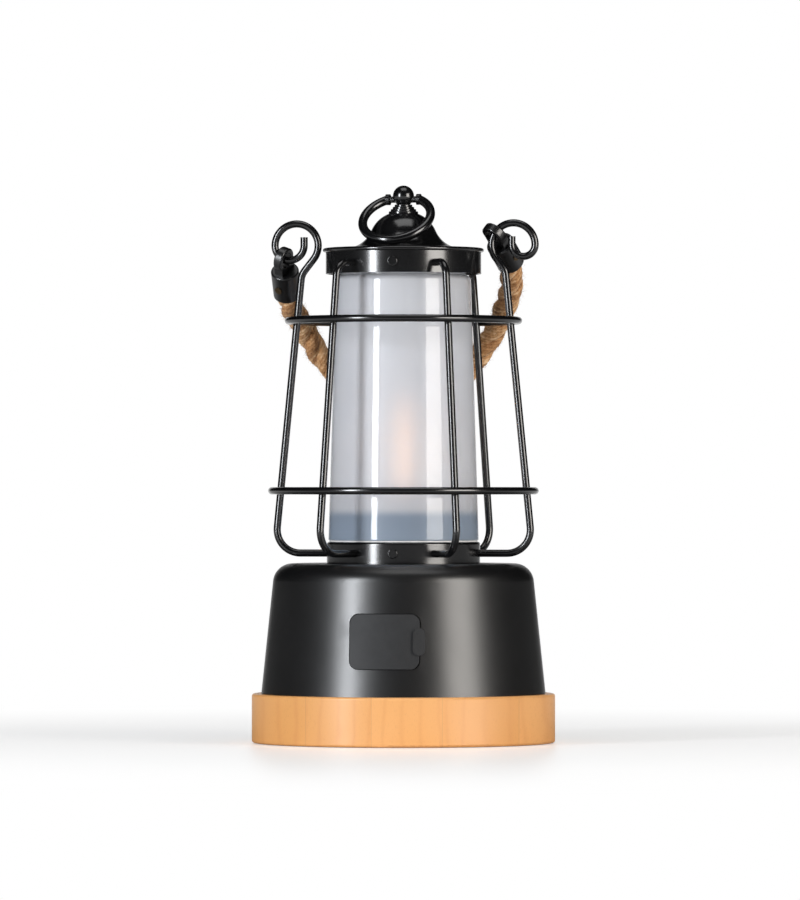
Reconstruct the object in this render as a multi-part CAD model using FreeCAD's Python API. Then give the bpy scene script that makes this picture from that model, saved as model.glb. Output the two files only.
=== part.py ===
"""Lantern table lamp: a frosted chimney in a wire cage, on a drum housing with a wooden foot.

Millimetres, +Z up. The origin is the centre of the plane that the lamp rests on. The two hooks of
the cage lie in the XZ plane and the port flap faces -Y.
"""
import FreeCAD, Part
import math
import os

# Clearances
SLIP = 0.2            # between pieces that slide together by hand
PRESS = 0.05          # between pieces that are pressed, screwed or welded together
RUN = 0.08            # between a pin and the hole it turns in
REST = 0.3            # between a resting moving piece and what stops it

# Foot
FOOT_R = 70.0
FOOT_TOP_Z = 22.6
FOOT_EDGE_R = 1.2
PAD_R = 6.0
PAD_H = 1.5
PAD_CIRCLE_R = 57.0
PAD_COUNT = 4
BASE_SCREW_COUNT = 3
BASE_SCREW_CIRCLE_R = 44.0
BASE_SCREW_R = 2.0
BASE_SCREW_HEAD_R = 3.6
BASE_SCREW_HEAD_H = 2.4
BASE_SCREW_SINK = 6.0
BASE_BOSS_R = 4.5
BASE_BOSS_H = 6.0

# Housing drum
HOUSING_R = 65.6
HOUSING_TOP_Z = 82.6
HOUSING_DRAFT = math.radians(5.95)
HOUSING_WALL = 1.2
SHOULDER_R = 9.0
FLOOR_RIM_H = 7.0
LEAD_HOLE_R = 12.0

# Collar on the housing
COLLAR_R = 35.4
COLLAR_H = 10.0
COLLAR_WALL = 1.0
COLLAR_EDGE_R = 1.2
COLLAR_LEDGE_W = 5.8
NECK_H = 7.0
SMALL_SCREW_R = 1.2
SMALL_SCREW_HEAD_R = 2.3
SMALL_SCREW_HEAD_H = 0.9
SMALL_SCREW_LENGTH = 4.0
SMALL_SCREW_ANGLES = (-90.0, 30.0, 150.0)

# Chimney and light
SEAL_LOWER_H = 0.6
CHIMNEY_FOOT_IN = 0.7     # the chimney's foot inside the collar's rim
CHIMNEY_FOOT_EDGE_R = 0.5
CHIMNEY_TAPER = 3.6
CHIMNEY_SHOULDER_Z = 215.6
CHIMNEY_SHOULDER_R = 2.8
CHIMNEY_WALL = 1.8
CHIMNEY_NECK_IN = 2.1
CHIMNEY_NECK_H = 8.5
LED_SEAT_IN = 10.4        # the light's seat inside the collar's rim
LED_SEAT_EDGE_R = 1.5
LED_SEAT_TOP_Z = 106.1
LED_POST_R = 2.6
LED_POST_H = 10.5
LED_POST_BASE_H = 2.0
FLAME_R = 3.4
FLAME_H = 43.0
FLAME_STRAIGHT = 0.62       # share of the height up to the tip's curve
FLAME_FOOT_BULGE = (0.82, 0.3)
FLAME_TIP_BULGE = 0.72

# Cap
BAND_OUT = 4.8            # the band outside the chimney's shoulder
BAND_WALL = 1.0
BAND_LOW_Z = 216.1
BAND_TOP_Z = 226.1
BRIM_OUT = 1.3            # the brim outside the band
CAP_WALL = 1.1
SKIRT_H = 8.0
DOME_R = 14.3
DOME_CENTRE_R = 1.7
DOME_CENTRE_Z = 230.6
FLARE_R = 13.4
BELL_SLOPE = math.radians(67.0)
BELL_TOP_R = 6.8

# Finial and hanging ring
FINIAL_STEP_RS = (6.8, 5.9, 5.0, 4.1)
FINIAL_STEP_H = 1.05
FINIAL_STEP_EDGE_R = 0.35
FINIAL_TURN_DEG = -9.0
FINIAL_NECK_R = 3.0
BALL_R = 4.9
BALL_Z = 252.1
STUD_R = 2.4
STUD_LENGTH = 5.4
NUT_ACROSS = 8.0
NUT_H = 3.2
RING_PIVOT_DROP = 1.6
RING_PIN_R = 1.5
RING_PIN_DEPTH = 3.6
RING_WIRE_R = 2.1
RING_CIRCLE_R = 15.9
RING_BEAD_R = 2.55
RING_BEAD_X = 7.4
RING_BEAD_W = 1.8

# Cage
WIRE_R = 1.7
RING_UPPER_OUT_R = 54.8
RING_UPPER_Z = 194.6
RING_LOWER_OUT_R = 62.45
RING_LOWER_Z = 116.1
WIRE_FOOT_Z = 87.3
WIRE_FOOT_BEND_R = 10.8
WIRE_TOP_Z = 220.6
WIRE_TOP_BEND_R = 7.0
WIRE_FRONT_DEG = 58.0        # front wires from the hooks' plane
WIRE_BACK_DEG = 55.0         # back wires from the hooks' plane

# Spiral hooks
LOOP_R = 10.1
LOOP_CENTRE_RS = (49.9, 51.1)    # left and right
LOOP_CENTRE_Z = 229.4
LOOP_END_RS = (6.8, 5.4)
LOOP_TIP = 3.9
LOOP_LEAD_IN = math.radians(38.0)
LOOP_NECK_BEND_R = 8.0

# Rope handle: where each ferrule hangs on its loop, and the way it points at rest
LEFT_HANG_DEG = 295.0        # on the small arc, from the outer side
RIGHT_HANG_DEG = 150.0       # on the large arc
LEFT_POINTS = (-0.02, 0.69, -0.72)
RIGHT_POINTS = (0.25, 0.77, -0.585)
HANDLE_MIDWAY_DEG = 37.5     # half of the handle's travel
FERRULE_R = 6.5
FERRULE_LENGTH = 22.0
FERRULE_EDGE_R = 0.8
FERRULE_SHOULDER = 7.0
FERRULE_SOCKET = 13.0
EYE_R = 5.7
EYE_T = 4.2
EYE_EDGE_R = 0.8
EYE_LEAN = math.radians(33.0)    # most that the wire leans in the eye's hole
RIVET_R = 1.2
RIVET_HEAD_R = 1.8
RIVET_HEAD_H = 0.4
RIVET_AT = 14.5
ROPE_R = 5.3
ROPE_LEAVES = 30.0
ROPE_POINTS = (
    (-53.3, 38.5, 194.9),
    (-48.4, 50.2, 181.1),
    (-39.3, 56.3, 170.4),
    (-26.0, 58.5, 162.5),
    (-9.0, 59.6, 158.3),
    (7.9, 59.4, 161.6),
    (20.0, 58.5, 169.4),
    (28.2, 58.6, 180.4),
    (38.3, 51.9, 194.8),
)

# Ports, seen along +Y
FLAP_W = 31.9
FLAP_H = 24.8
FLAP_CORNER_R = 4.0
FLAP_Z = 47.7
FLAP_PROUD = 0.9
FLAP_SINK = 0.9
FLAP_GAP = 0.4
TAB_W = 5.4
TAB_H = 12.3
TAB_PROUD = 2.0
PANEL_LEDGE = 1.6
PANEL_FLANGE = 3.0
PANEL_FACE_Y = -53.5
PANEL_FLOOR_T = 2.0
USB_PORT = (-4.5, 14.4, 6.8, 0.8)       # x, width, height, corner radius
CHARGE_PORT = (8.5, 9.2, 3.4, 1.6)
SOCKET_WALL = 0.5
SOCKET_LENGTH = 14.0
TONGUE_WIDTH = 0.62         # share of the socket's width
TONGUE_HEIGHT = 0.2         # share of the socket's height
TONGUE_SINK = 1.5
BOARD_W = 44.0
BOARD_H = 40.0
BOARD_T = 1.6

# Battery
CELL_R = 9.2
CELL_LENGTH = 65.0
CONTACT_H = 1.2
CELL_PITCH = 20.0
TRAY_WALL = 1.5
TRAY_LIP_H = 9.0

# Dimmer at the back
DIMMER_Z = 46.2
DIMMER_BODY_R = 8.0
DIMMER_BODY_L = 9.0
BUSH_R = 3.5
BUSH_STANDS_OUT = 4.5
DIMMER_SHAFT_R = 2.5
DIMMER_SHAFT_OUT = 12.0
DIMMER_NUT_ACROSS = 10.0
DIMMER_NUT_H = 2.0
KNOB_R = 10.0
KNOB_H = 13.0
KNOB_LIFT = 0.5
KNOB_TAPER = 0.8
KNOB_FLUTES = 16
KNOB_FLUTE_R = 1.3
KNOB_FLUTE_DEPTH = 0.7
KNOB_FLUTE_START = 1.5
KNOB_RIM_R = 1.0
POINTER_W = 1.0
POINTER_DEPTH = 0.5
POINTER_START = 2.0
KNOB_POCKET_R = 7.0
KNOB_POCKET_DEPTH = 5.0

Z_AXIS = FreeCAD.Vector(0, 0, 1)
X_AXIS = FreeCAD.Vector(1, 0, 0)
ORIGIN = FreeCAD.Vector(0, 0, 0)


# ---------------------------------------------------------------- building blocks

def at(r, z):
    """A point of a profile in the XZ plane."""
    return FreeCAD.Vector(r, 0, z)


def turned(shape, degrees, about=Z_AXIS, centre=ORIGIN):
    """A copy of the shape, turned about an axis."""
    copy = shape.copy()
    copy.rotate(centre, about, degrees)
    return copy


def corner_arc(before, corner, after, radius):
    """The arc of this radius that rounds a corner between two straight runs."""
    back = (before - corner).normalize()
    on = (after - corner).normalize()
    half = back.getAngle(on) / 2
    middle = (back + on).normalize()
    start = corner + back * (radius / math.tan(half))
    end = corner + on * (radius / math.tan(half))
    through = corner + middle * (radius / math.sin(half) - radius)
    return start, through, end


def path_edges(points, radii):
    """Straight runs through the points, with an arc of the given radius at each inner point."""
    edges = []
    here = points[0]
    for before, corner, after, radius in zip(points, points[1:], points[2:], radii):
        start, through, end = corner_arc(before, corner, after, radius)
        edges.append(Part.LineSegment(here, start).toShape())
        edges.append(Part.Arc(start, through, end).toShape())
        here = end
    edges.append(Part.LineSegment(here, points[-1]).toShape())
    return edges


def outline(corners):
    """A face from (point, radius) corners; radius 0 leaves the corner sharp."""
    edges = []
    count = len(corners)
    ends = []
    for i, (corner, radius) in enumerate(corners):
        if radius == 0:
            ends.append((corner, corner))
            continue
        before = corners[i - 1][0]
        after = corners[(i + 1) % count][0]
        start, through, end = corner_arc(before, corner, after, radius)
        edges.append(Part.Arc(start, through, end).toShape())
        ends.append((start, end))
    for i in range(count):
        leave = ends[i][1]
        reach = ends[(i + 1) % count][0]
        edges.append(Part.LineSegment(leave, reach).toShape())
    return Part.Face(Part.Wire(Part.__sortEdges__(edges)))


def spun(face):
    """A full turn of a profile face about the lamp's axis."""
    return face.revolve(ORIGIN, Z_AXIS, 360)


def spun_corners(*corners):
    """A turned solid from (r, z) or (r, z, corner radius) corners."""
    return spun(outline([(at(c[0], c[1]), c[2] if len(c) > 2 else 0) for c in corners]))


def tube(edges, radius):
    """A round rod along a path of edges."""
    path = Part.Wire(edges)
    first = path.OrderedEdges[0]
    start = first.valueAt(first.FirstParameter)
    heading = first.tangentAt(first.FirstParameter)
    section = Part.Wire(Part.makeCircle(radius, start, heading))
    return path.makePipeShell([section], True, False)


def cylinder(radius, start, end):
    """A cylinder from one point to another."""
    along = end - start
    return Part.makeCylinder(radius, along.Length, start, along)


def hexagon(across, height, z):
    """A hexagonal prism on the Z axis."""
    corner_r = across / math.sqrt(3)
    points = [turned(Part.Vertex(at(corner_r, z)), 60 * k).Point for k in range(6)]
    face = Part.Face(Part.makePolygon(points + points[:1]))
    return face.extrude(Z_AXIS * height)


def block(low, high):
    """A box between two corners."""
    size = [b - a for a, b in zip(low, high)]
    return Part.makeBox(*size, FreeCAD.Vector(*low))


def wall_r(z, inset=0.0):
    """Radius of the housing's cone at a height, set in by a thickness."""
    return HOUSING_R - (z - FOOT_TOP_Z) * math.tan(HOUSING_DRAFT) - inset / math.cos(HOUSING_DRAFT)


def cone(inset):
    """The housing's cone as a solid, without its shoulder, set in by a thickness."""
    height = HOUSING_TOP_Z - FOOT_TOP_Z
    low = wall_r(FOOT_TOP_Z, inset)
    high = wall_r(HOUSING_TOP_Z, inset)
    return Part.makeCone(low, high, height, at(0, FOOT_TOP_Z))


def port_prism(width, height, corner_r, back_y, x=0.0):
    """A rounded rectangle round the ports, from outside the housing back to a plane."""
    front_y = -HOUSING_R - TAB_PROUD
    w = width / 2
    h = height / 2
    corners = []
    for sx, sz in ((-1, -1), (1, -1), (1, 1), (-1, 1)):
        corners.append((FreeCAD.Vector(x + sx * w, front_y, FLAP_Z + sz * h), corner_r))
    return outline(corners).extrude(FreeCAD.Vector(0, back_y - front_y, 0))


def on_back_wall(shape):
    """Moves a shape built on the Z axis onto the back of the housing, square to its wall."""
    placed = shape.copy()
    placed.rotate(ORIGIN, X_AXIS, -90 + math.degrees(HOUSING_DRAFT))
    placed.translate(FreeCAD.Vector(0, wall_r(DIMMER_Z), DIMMER_Z))
    return placed


def round_holes(radius, reach, z, angles):
    """Radial drills at a height, out to a reach."""
    drill = cylinder(radius, at(0, z), at(reach, z))
    return Part.makeCompound([turned(drill, angle) for angle in angles])


def small_screws(wall_outer_r, z):
    """Radial screws whose flat heads sit on a round wall."""
    seat = wall_outer_r + PRESS
    shank = cylinder(SMALL_SCREW_R, at(seat - SMALL_SCREW_LENGTH, z), at(seat, z))
    rim = SMALL_SCREW_HEAD_R
    head = Part.makeCylinder(rim, SMALL_SCREW_HEAD_H, at(seat, z), X_AXIS)
    head = head.makeFillet(SMALL_SCREW_HEAD_H / 2, [edge_at(head, seat + SMALL_SCREW_HEAD_H)])
    screw = shank.fuse(head)
    return Part.makeCompound([turned(screw, angle) for angle in SMALL_SCREW_ANGLES])


def edge_at(shape, x):
    """The round edge of a shape that lies wholly at one x."""
    for edge in shape.Edges:
        box = edge.BoundBox
        if abs(box.XMin - x) < 1e-4 and abs(box.XMax - x) < 1e-4:
            return edge
    return None


# ---------------------------------------------------------------- foot

def wood_base():
    """Turned disc with pockets for the pads and stepped holes for the long screws."""
    base = spun_corners((0, 0), (FOOT_R, 0, FOOT_EDGE_R), (FOOT_R, FOOT_TOP_Z, FOOT_EDGE_R), (0, FOOT_TOP_Z))
    for x, y in pad_places():
        base = base.cut(Part.makeCylinder(PAD_R + PRESS, PAD_H, FreeCAD.Vector(x, y, 0)))
    for x, y in base_screw_places():
        through = Part.makeCylinder(BASE_SCREW_R + SLIP, FOOT_TOP_Z, FreeCAD.Vector(x, y, 0))
        pocket = Part.makeCylinder(BASE_SCREW_HEAD_R + SLIP, BASE_SCREW_SINK, FreeCAD.Vector(x, y, 0))
        base = base.cut(through.fuse(pocket))
    return base


def around(count, radius, first=0.0):
    """Evenly spaced places on a circle."""
    angles = [math.radians(first + 360.0 * k / count) for k in range(count)]
    return [(radius * math.cos(a), radius * math.sin(a)) for a in angles]


def pad_places():
    return around(PAD_COUNT, PAD_CIRCLE_R, 45.0)


def base_screw_places():
    return around(BASE_SCREW_COUNT, BASE_SCREW_CIRCLE_R, 90.0)


def foot_pads():
    """Round pads let in flush with the underside."""
    return Part.makeCompound([Part.makeCylinder(PAD_R, PAD_H, FreeCAD.Vector(x, y, 0)) for x, y in pad_places()])


def base_screws():
    """Pan-head screws from the pockets under the foot up into the floor's bosses."""
    head_z = BASE_SCREW_SINK
    top_z = FOOT_TOP_Z + HOUSING_WALL + BASE_BOSS_H
    screws = []
    for x, y in base_screw_places():
        head = Part.makeCylinder(BASE_SCREW_HEAD_R, BASE_SCREW_HEAD_H, FreeCAD.Vector(x, y, head_z - BASE_SCREW_HEAD_H))
        shank = Part.makeCylinder(BASE_SCREW_R, top_z - head_z, FreeCAD.Vector(x, y, head_z))
        screws.append(head.fuse(shank))
    return Part.makeCompound(screws)


# ---------------------------------------------------------------- housing

def neck_outer_r():
    return COLLAR_R - COLLAR_WALL - SLIP


def neck_inner_r():
    return neck_outer_r() - HOUSING_WALL


def housing():
    """Drawn drum: draft, rolled shoulder and a neck for the collar, with its port and dimmer holes."""
    top = HOUSING_TOP_Z
    wall = HOUSING_WALL
    neck_top = top + NECK_H
    neck_r = neck_outer_r()
    inner_r = neck_inner_r()
    body = spun_corners(
        (wall_r(FOOT_TOP_Z), FOOT_TOP_Z),
        (wall_r(top), top, SHOULDER_R),
        (neck_r, top),
        (neck_r, neck_top, wall),
        (LEAD_HOLE_R, neck_top),
        (LEAD_HOLE_R, neck_top - wall),
        (inner_r, neck_top - wall),
        (inner_r, top - wall),
        (wall_r(top - wall, wall), top - wall, SHOULDER_R - wall),
        (wall_r(FOOT_TOP_Z, wall), FOOT_TOP_Z),
    )
    opening = port_prism(FLAP_W + 2 * FLAP_GAP, FLAP_H + 2 * FLAP_GAP, FLAP_CORNER_R + FLAP_GAP, 0)
    bush_hole = on_back_wall(Part.makeCylinder(BUSH_R + PRESS, 4 * wall, at(0, -2 * wall)))
    body = body.cut(opening).cut(bush_hole)
    body = body.cut(round_holes(WIRE_R + PRESS, COLLAR_R, WIRE_FOOT_Z, wire_angles()))
    return body.cut(round_holes(SMALL_SCREW_R + PRESS, COLLAR_R, WIRE_FOOT_Z, SMALL_SCREW_ANGLES))


def housing_floor():
    """Pan pressed into the drum: a plate, a rim that follows the draft, and three screw bosses."""
    low = FOOT_TOP_Z
    plate = low + HOUSING_WALL
    rim = low + FLOOR_RIM_H
    inset = HOUSING_WALL + PRESS
    pan = spun_corners(
        (0, low),
        (wall_r(low, inset), low),
        (wall_r(rim, inset), rim),
        (wall_r(rim, inset + HOUSING_WALL), rim),
        (wall_r(plate, inset + HOUSING_WALL), plate),
        (0, plate),
    )
    for x, y in base_screw_places():
        pan = pan.fuse(Part.makeCylinder(BASE_BOSS_R, BASE_BOSS_H, FreeCAD.Vector(x, y, plate)))
    for x, y in base_screw_places():
        pan = pan.cut(Part.makeCylinder(BASE_SCREW_R + PRESS, FOOT_TOP_Z + 2 * BASE_BOSS_H, FreeCAD.Vector(x, y, 0)))
    return pan


def cell_centres():
    """Two cells side by side across the lamp, in front of the screw boss at the back."""
    z = FOOT_TOP_Z + HOUSING_WALL + TRAY_WALL + CELL_R + PRESS
    return [(-CELL_PITCH / 2, z), (CELL_PITCH / 2, z)]


def tray_box():
    """Outer corners of the battery tray."""
    low_z = FOOT_TOP_Z + HOUSING_WALL
    half_x = CELL_LENGTH / 2 + SLIP + TRAY_WALL
    half_y = CELL_PITCH / 2 + CELL_R + SLIP + TRAY_WALL
    return (-half_x, -half_y, low_z), (half_x, half_y, low_z + TRAY_LIP_H)


def battery_holder():
    """Open tray with a cradle under each cell, let in round the floor's bosses."""
    low, high = tray_box()
    tray = block(low, high)
    inner_low = (low[0] + TRAY_WALL, low[1] + TRAY_WALL, low[2] + TRAY_WALL)
    inner_high = (high[0] - TRAY_WALL, high[1] - TRAY_WALL, high[2])
    tray = tray.cut(block(inner_low, inner_high))
    for x, y in base_screw_places():
        tray = tray.cut(Part.makeCylinder(BASE_BOSS_R + SLIP, 2 * TRAY_LIP_H, FreeCAD.Vector(x, y, low[2])))
    return tray


def battery_cells():
    """Cylindrical cells with a raised contact at one end."""
    cells = []
    for y, z in cell_centres():
        start = FreeCAD.Vector(-CELL_LENGTH / 2, y, z)
        can_end = start + X_AXIS * (CELL_LENGTH - CONTACT_H)
        can = cylinder(CELL_R, start, can_end)
        contact = cylinder(CELL_R / 3, can_end, start + X_AXIS * CELL_LENGTH)
        cells.append(can.fuse(contact))
    return Part.makeCompound(cells)


# ---------------------------------------------------------------- ports

def panel_back_y():
    return PANEL_FACE_Y + PANEL_FLOOR_T


def port_panel():
    """Moulded recess behind the opening: its flange follows the drum, its floor stands upright."""
    grow = 2 * PANEL_FLANGE
    inset = HOUSING_WALL + PRESS
    outer = port_prism(FLAP_W + grow, FLAP_H + grow, FLAP_CORNER_R + PANEL_FLANGE, panel_back_y())
    panel = outer.common(cone(inset))
    shrink = 2 * PANEL_LEDGE
    corner_r = FLAP_CORNER_R - PANEL_LEDGE
    panel = panel.cut(port_prism(FLAP_W - shrink, FLAP_H - shrink, corner_r, PANEL_FACE_Y))
    for x, width, height, round_r in (USB_PORT, CHARGE_PORT):
        panel = panel.cut(port_prism(width + 2 * SLIP, height + 2 * SLIP, round_r + SLIP, 0, x))
    return panel


def socket(x, width, height, corner_r):
    """Open metal shell of a port, flush with the floor of the recess, with its contact tongue."""
    def sleeve(inset, back_y):
        prism = port_prism(width - 2 * inset, height - 2 * inset, corner_r - inset, back_y, x)
        return prism.cut(block((-HOUSING_R, -2 * HOUSING_R, 0), (HOUSING_R, PANEL_FACE_Y, HOUSING_TOP_Z)))
    back_y = PANEL_FACE_Y + SOCKET_LENGTH
    shell = sleeve(0, back_y).cut(sleeve(SOCKET_WALL, back_y - SOCKET_WALL))
    tongue_w = width * TONGUE_WIDTH
    tongue_h = height * TONGUE_HEIGHT
    low = (x - tongue_w / 2, PANEL_FACE_Y + TONGUE_SINK, FLAP_Z - tongue_h / 2)
    high = (x + tongue_w / 2, back_y - SOCKET_WALL / 2, FLAP_Z + tongue_h / 2)
    return shell.fuse(block(low, high))


def usb_socket():
    return socket(*USB_PORT)


def charging_socket():
    return socket(*CHARGE_PORT)


def circuit_board():
    """Board standing on the floor, square to the ports."""
    front_y = PANEL_FACE_Y + SOCKET_LENGTH
    low_z = FOOT_TOP_Z + HOUSING_WALL
    return block((-BOARD_W / 2, front_y, low_z), (BOARD_W / 2, front_y + BOARD_T, low_z + BOARD_H))


def port_flap():
    """Moulded cover that follows the drum, with a pull tab over its free edge."""
    prism = port_prism(FLAP_W, FLAP_H, FLAP_CORNER_R, 0)
    cover = prism.common(cone(-FLAP_PROUD).cut(cone(FLAP_SINK)))
    tab_prism = port_prism(TAB_W, TAB_H, TAB_W / 2 - PRESS, 0, FLAP_W / 2)
    tab = tab_prism.common(cone(-TAB_PROUD).cut(cone(-REST)))
    return cover.fuse(tab).removeSplitter()


# ---------------------------------------------------------------- dimmer

def dimmer_back():
    """Depth of the control's flat face behind the curved wall, in the dimmer's own frame."""
    inner = wall_r(DIMMER_Z + DIMMER_BODY_R, HOUSING_WALL)
    hollow = inner - math.sqrt(inner ** 2 - DIMMER_BODY_R ** 2)
    return -HOUSING_WALL - hollow - PRESS


def dimmer_control():
    """Rotary control behind the wall with its threaded bush through it."""
    back = dimmer_back()
    body = Part.makeCylinder(DIMMER_BODY_R, DIMMER_BODY_L, at(0, back - DIMMER_BODY_L))
    bush = Part.makeCylinder(BUSH_R, BUSH_STANDS_OUT - back, at(0, back))
    bore = Part.makeCylinder(DIMMER_SHAFT_R + RUN, 2 * DIMMER_BODY_L, at(0, back - DIMMER_BODY_L / 2))
    return on_back_wall(body.fuse(bush).cut(bore))


def dimmer_shaft():
    start = dimmer_back() - DIMMER_BODY_L / 2 + RUN
    return on_back_wall(Part.makeCylinder(DIMMER_SHAFT_R, DIMMER_SHAFT_OUT - start, at(0, start)))


def dimmer_nut():
    nut = hexagon(DIMMER_NUT_ACROSS, DIMMER_NUT_H, SLIP)
    return on_back_wall(nut.cut(Part.makeCylinder(BUSH_R + PRESS, 2 * DIMMER_NUT_H)))


def dimmer_knob():
    """Tapered knob with grip flutes, hollow over the nut, with a pointer groove in its face."""
    top = KNOB_LIFT + KNOB_H
    knob = Part.makeCone(KNOB_R, KNOB_R - KNOB_TAPER, KNOB_H, at(0, KNOB_LIFT))
    rim = [e for e in knob.Edges if abs(e.BoundBox.ZMin - top) < 1e-4]
    knob = knob.makeFillet(KNOB_RIM_R, rim)
    flute_at = at(KNOB_R + KNOB_FLUTE_R - KNOB_FLUTE_DEPTH, KNOB_LIFT + KNOB_FLUTE_START)
    flute = Part.makeCylinder(KNOB_FLUTE_R, KNOB_H - 2 * KNOB_FLUTE_START, flute_at)
    knob = knob.cut(Part.makeCompound([turned(flute, 360.0 * k / KNOB_FLUTES) for k in range(KNOB_FLUTES)]))
    pocket = Part.makeCylinder(KNOB_POCKET_R, KNOB_POCKET_DEPTH + KNOB_LIFT)
    bore = Part.makeCylinder(DIMMER_SHAFT_R + PRESS, DIMMER_SHAFT_OUT)
    side = POINTER_W / 2
    pointer = block((-side, POINTER_START, top - POINTER_DEPTH), (side, KNOB_R, top + POINTER_DEPTH))
    return on_back_wall(knob.cut(pocket).cut(bore).cut(pointer))


# ---------------------------------------------------------------- collar, light and chimney

def collar_top_z():
    return HOUSING_TOP_Z + COLLAR_H


def collar():
    """Cup slipped over the drum's neck, with the ledge that the chimney stands on."""
    low = HOUSING_TOP_Z
    top = collar_top_z()
    wall = COLLAR_WALL
    cup = spun_corners(
        (COLLAR_R, low),
        (COLLAR_R, top, COLLAR_EDGE_R),
        (COLLAR_R - COLLAR_LEDGE_W, top),
        (COLLAR_R - COLLAR_LEDGE_W, top - wall),
        (COLLAR_R - wall, top - wall),
        (COLLAR_R - wall, low),
    )
    cup = cup.cut(round_holes(WIRE_R + PRESS, COLLAR_R + wall, WIRE_FOOT_Z, wire_angles()))
    return cup.cut(round_holes(SMALL_SCREW_R + PRESS, COLLAR_R + wall, WIRE_FOOT_Z, SMALL_SCREW_ANGLES))


def collar_screws():
    return small_screws(COLLAR_R, WIRE_FOOT_Z)


def led_seat():
    """Drum that carries the light, standing on the neck inside the collar."""
    low = HOUSING_TOP_Z + NECK_H
    top = LED_SEAT_TOP_Z
    seat_r = COLLAR_R - LED_SEAT_IN
    return spun_corners((0, low), (seat_r, low), (seat_r, top, LED_SEAT_EDGE_R), (0, top))


def led_post():
    low = LED_SEAT_TOP_Z
    step = low + LED_POST_BASE_H
    return spun_corners((0, low), (2 * LED_POST_R, low), (2 * LED_POST_R, step), (LED_POST_R, step),
                        (LED_POST_R, low + LED_POST_H), (0, low + LED_POST_H))


def led_flame():
    """Candle-shaped light column: rounded foot, straight sides and a drawn tip."""
    low = LED_SEAT_TOP_Z + LED_POST_H
    belly = low + FLAME_R
    shoulder = low + FLAME_STRAIGHT * FLAME_H
    top = low + FLAME_H
    tip_r = FLAME_R / 4
    foot_bulge = at(FLAME_FOOT_BULGE[0] * FLAME_R, low + FLAME_FOOT_BULGE[1] * FLAME_R)
    edges = [
        Part.LineSegment(at(0, low), at(LED_POST_R / 2, low)).toShape(),
        Part.Arc(at(LED_POST_R / 2, low), foot_bulge, at(FLAME_R, belly)).toShape(),
        Part.LineSegment(at(FLAME_R, belly), at(FLAME_R, shoulder)).toShape(),
        Part.Arc(at(FLAME_R, shoulder), at(FLAME_TIP_BULGE * FLAME_R, (shoulder + top) / 2), at(tip_r, top)).toShape(),
        Part.LineSegment(at(tip_r, top), at(0, top)).toShape(),
        Part.LineSegment(at(0, top), at(0, low)).toShape(),
    ]
    return spun(Part.Face(Part.Wire(edges)))


def chimney_foot_z():
    return collar_top_z() + SEAL_LOWER_H


def chimney_foot_r():
    return COLLAR_R - CHIMNEY_FOOT_IN


def chimney_top_r():
    return chimney_foot_r() - CHIMNEY_TAPER


def chimney_neck_r():
    return chimney_top_r() - CHIMNEY_NECK_IN


def band_r():
    return chimney_top_r() + BAND_OUT


def brim_r():
    return band_r() + BRIM_OUT


def chimney_seal_lower():
    low = collar_top_z()
    high = low + SEAL_LOWER_H
    inner = chimney_foot_r() - 2 * CHIMNEY_WALL
    outer = COLLAR_R - COLLAR_EDGE_R
    return spun_corners((inner, low), (outer, low), (outer, high), (inner, high))


def chimney():
    """Frosted shade: tapered wall, rounded shoulder and a neck that enters the cap."""
    foot = chimney_foot_z()
    top = CHIMNEY_SHOULDER_Z
    neck_top = top + CHIMNEY_NECK_H
    wall = CHIMNEY_WALL
    neck_inner = chimney_neck_r() - wall
    return spun_corners(
        (chimney_foot_r(), foot, CHIMNEY_FOOT_EDGE_R),
        (chimney_top_r(), top, CHIMNEY_SHOULDER_R),
        (chimney_neck_r(), top),
        (chimney_neck_r(), neck_top),
        (neck_inner, neck_top),
        (neck_inner, top - wall),
        (chimney_top_r() - wall, top - wall, CHIMNEY_SHOULDER_R - wall),
        (chimney_foot_r() - wall, foot),
    )


def chimney_seal_upper():
    low = CHIMNEY_SHOULDER_Z + CHIMNEY_NECK_H
    high = BAND_TOP_Z
    inner = chimney_neck_r() - CHIMNEY_WALL
    outer = chimney_neck_r() + CHIMNEY_WALL
    return spun_corners((inner, low), (outer, low), (outer, high), (inner, high))


# ---------------------------------------------------------------- cap

def skirt_outer_r():
    return band_r() - BAND_WALL - SLIP


def screw_z():
    return (BAND_LOW_Z + BAND_TOP_Z) / 2


def cap_band():
    """Band round the chimney's shoulder, drilled for the cage wires and the cap's screws."""
    inner = band_r() - BAND_WALL
    band = spun_corners((inner, BAND_LOW_Z), (band_r(), BAND_LOW_Z), (band_r(), BAND_TOP_Z), (inner, BAND_TOP_Z))
    band = band.cut(round_holes(WIRE_R + PRESS, brim_r(), WIRE_TOP_Z, plain_wires().values()))
    return band.cut(round_holes(SMALL_SCREW_R + PRESS, brim_r(), screw_z(), SMALL_SCREW_ANGLES))


def cap_screws():
    return small_screws(band_r(), screw_z())


def bell_arcs(inset):
    """The bell's dome arc and flare arc, joined on one slope and set in by a thickness."""
    dome_r = DOME_R - inset
    flare_r = FLARE_R + inset
    join = BELL_SLOPE
    dome_c = at(DOME_CENTRE_R, DOME_CENTRE_Z)
    flare_c = dome_c + at(math.sin(join), math.cos(join)) * (DOME_R + FLARE_R)
    top_angle = math.asin((BELL_TOP_R - DOME_CENTRE_R) / DOME_R)
    dome = [dome_c + at(math.sin(a), math.cos(a)) * dome_r for a in (top_angle, (top_angle + join) / 2, join)]
    flare = [flare_c - at(math.sin(a), math.cos(a)) * flare_r for a in (join, join / 2, 0)]
    return dome, flare


def cap_top_z():
    """Height of the small flat on the bell, under the finial."""
    return bell_arcs(0)[0][0].z


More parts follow.
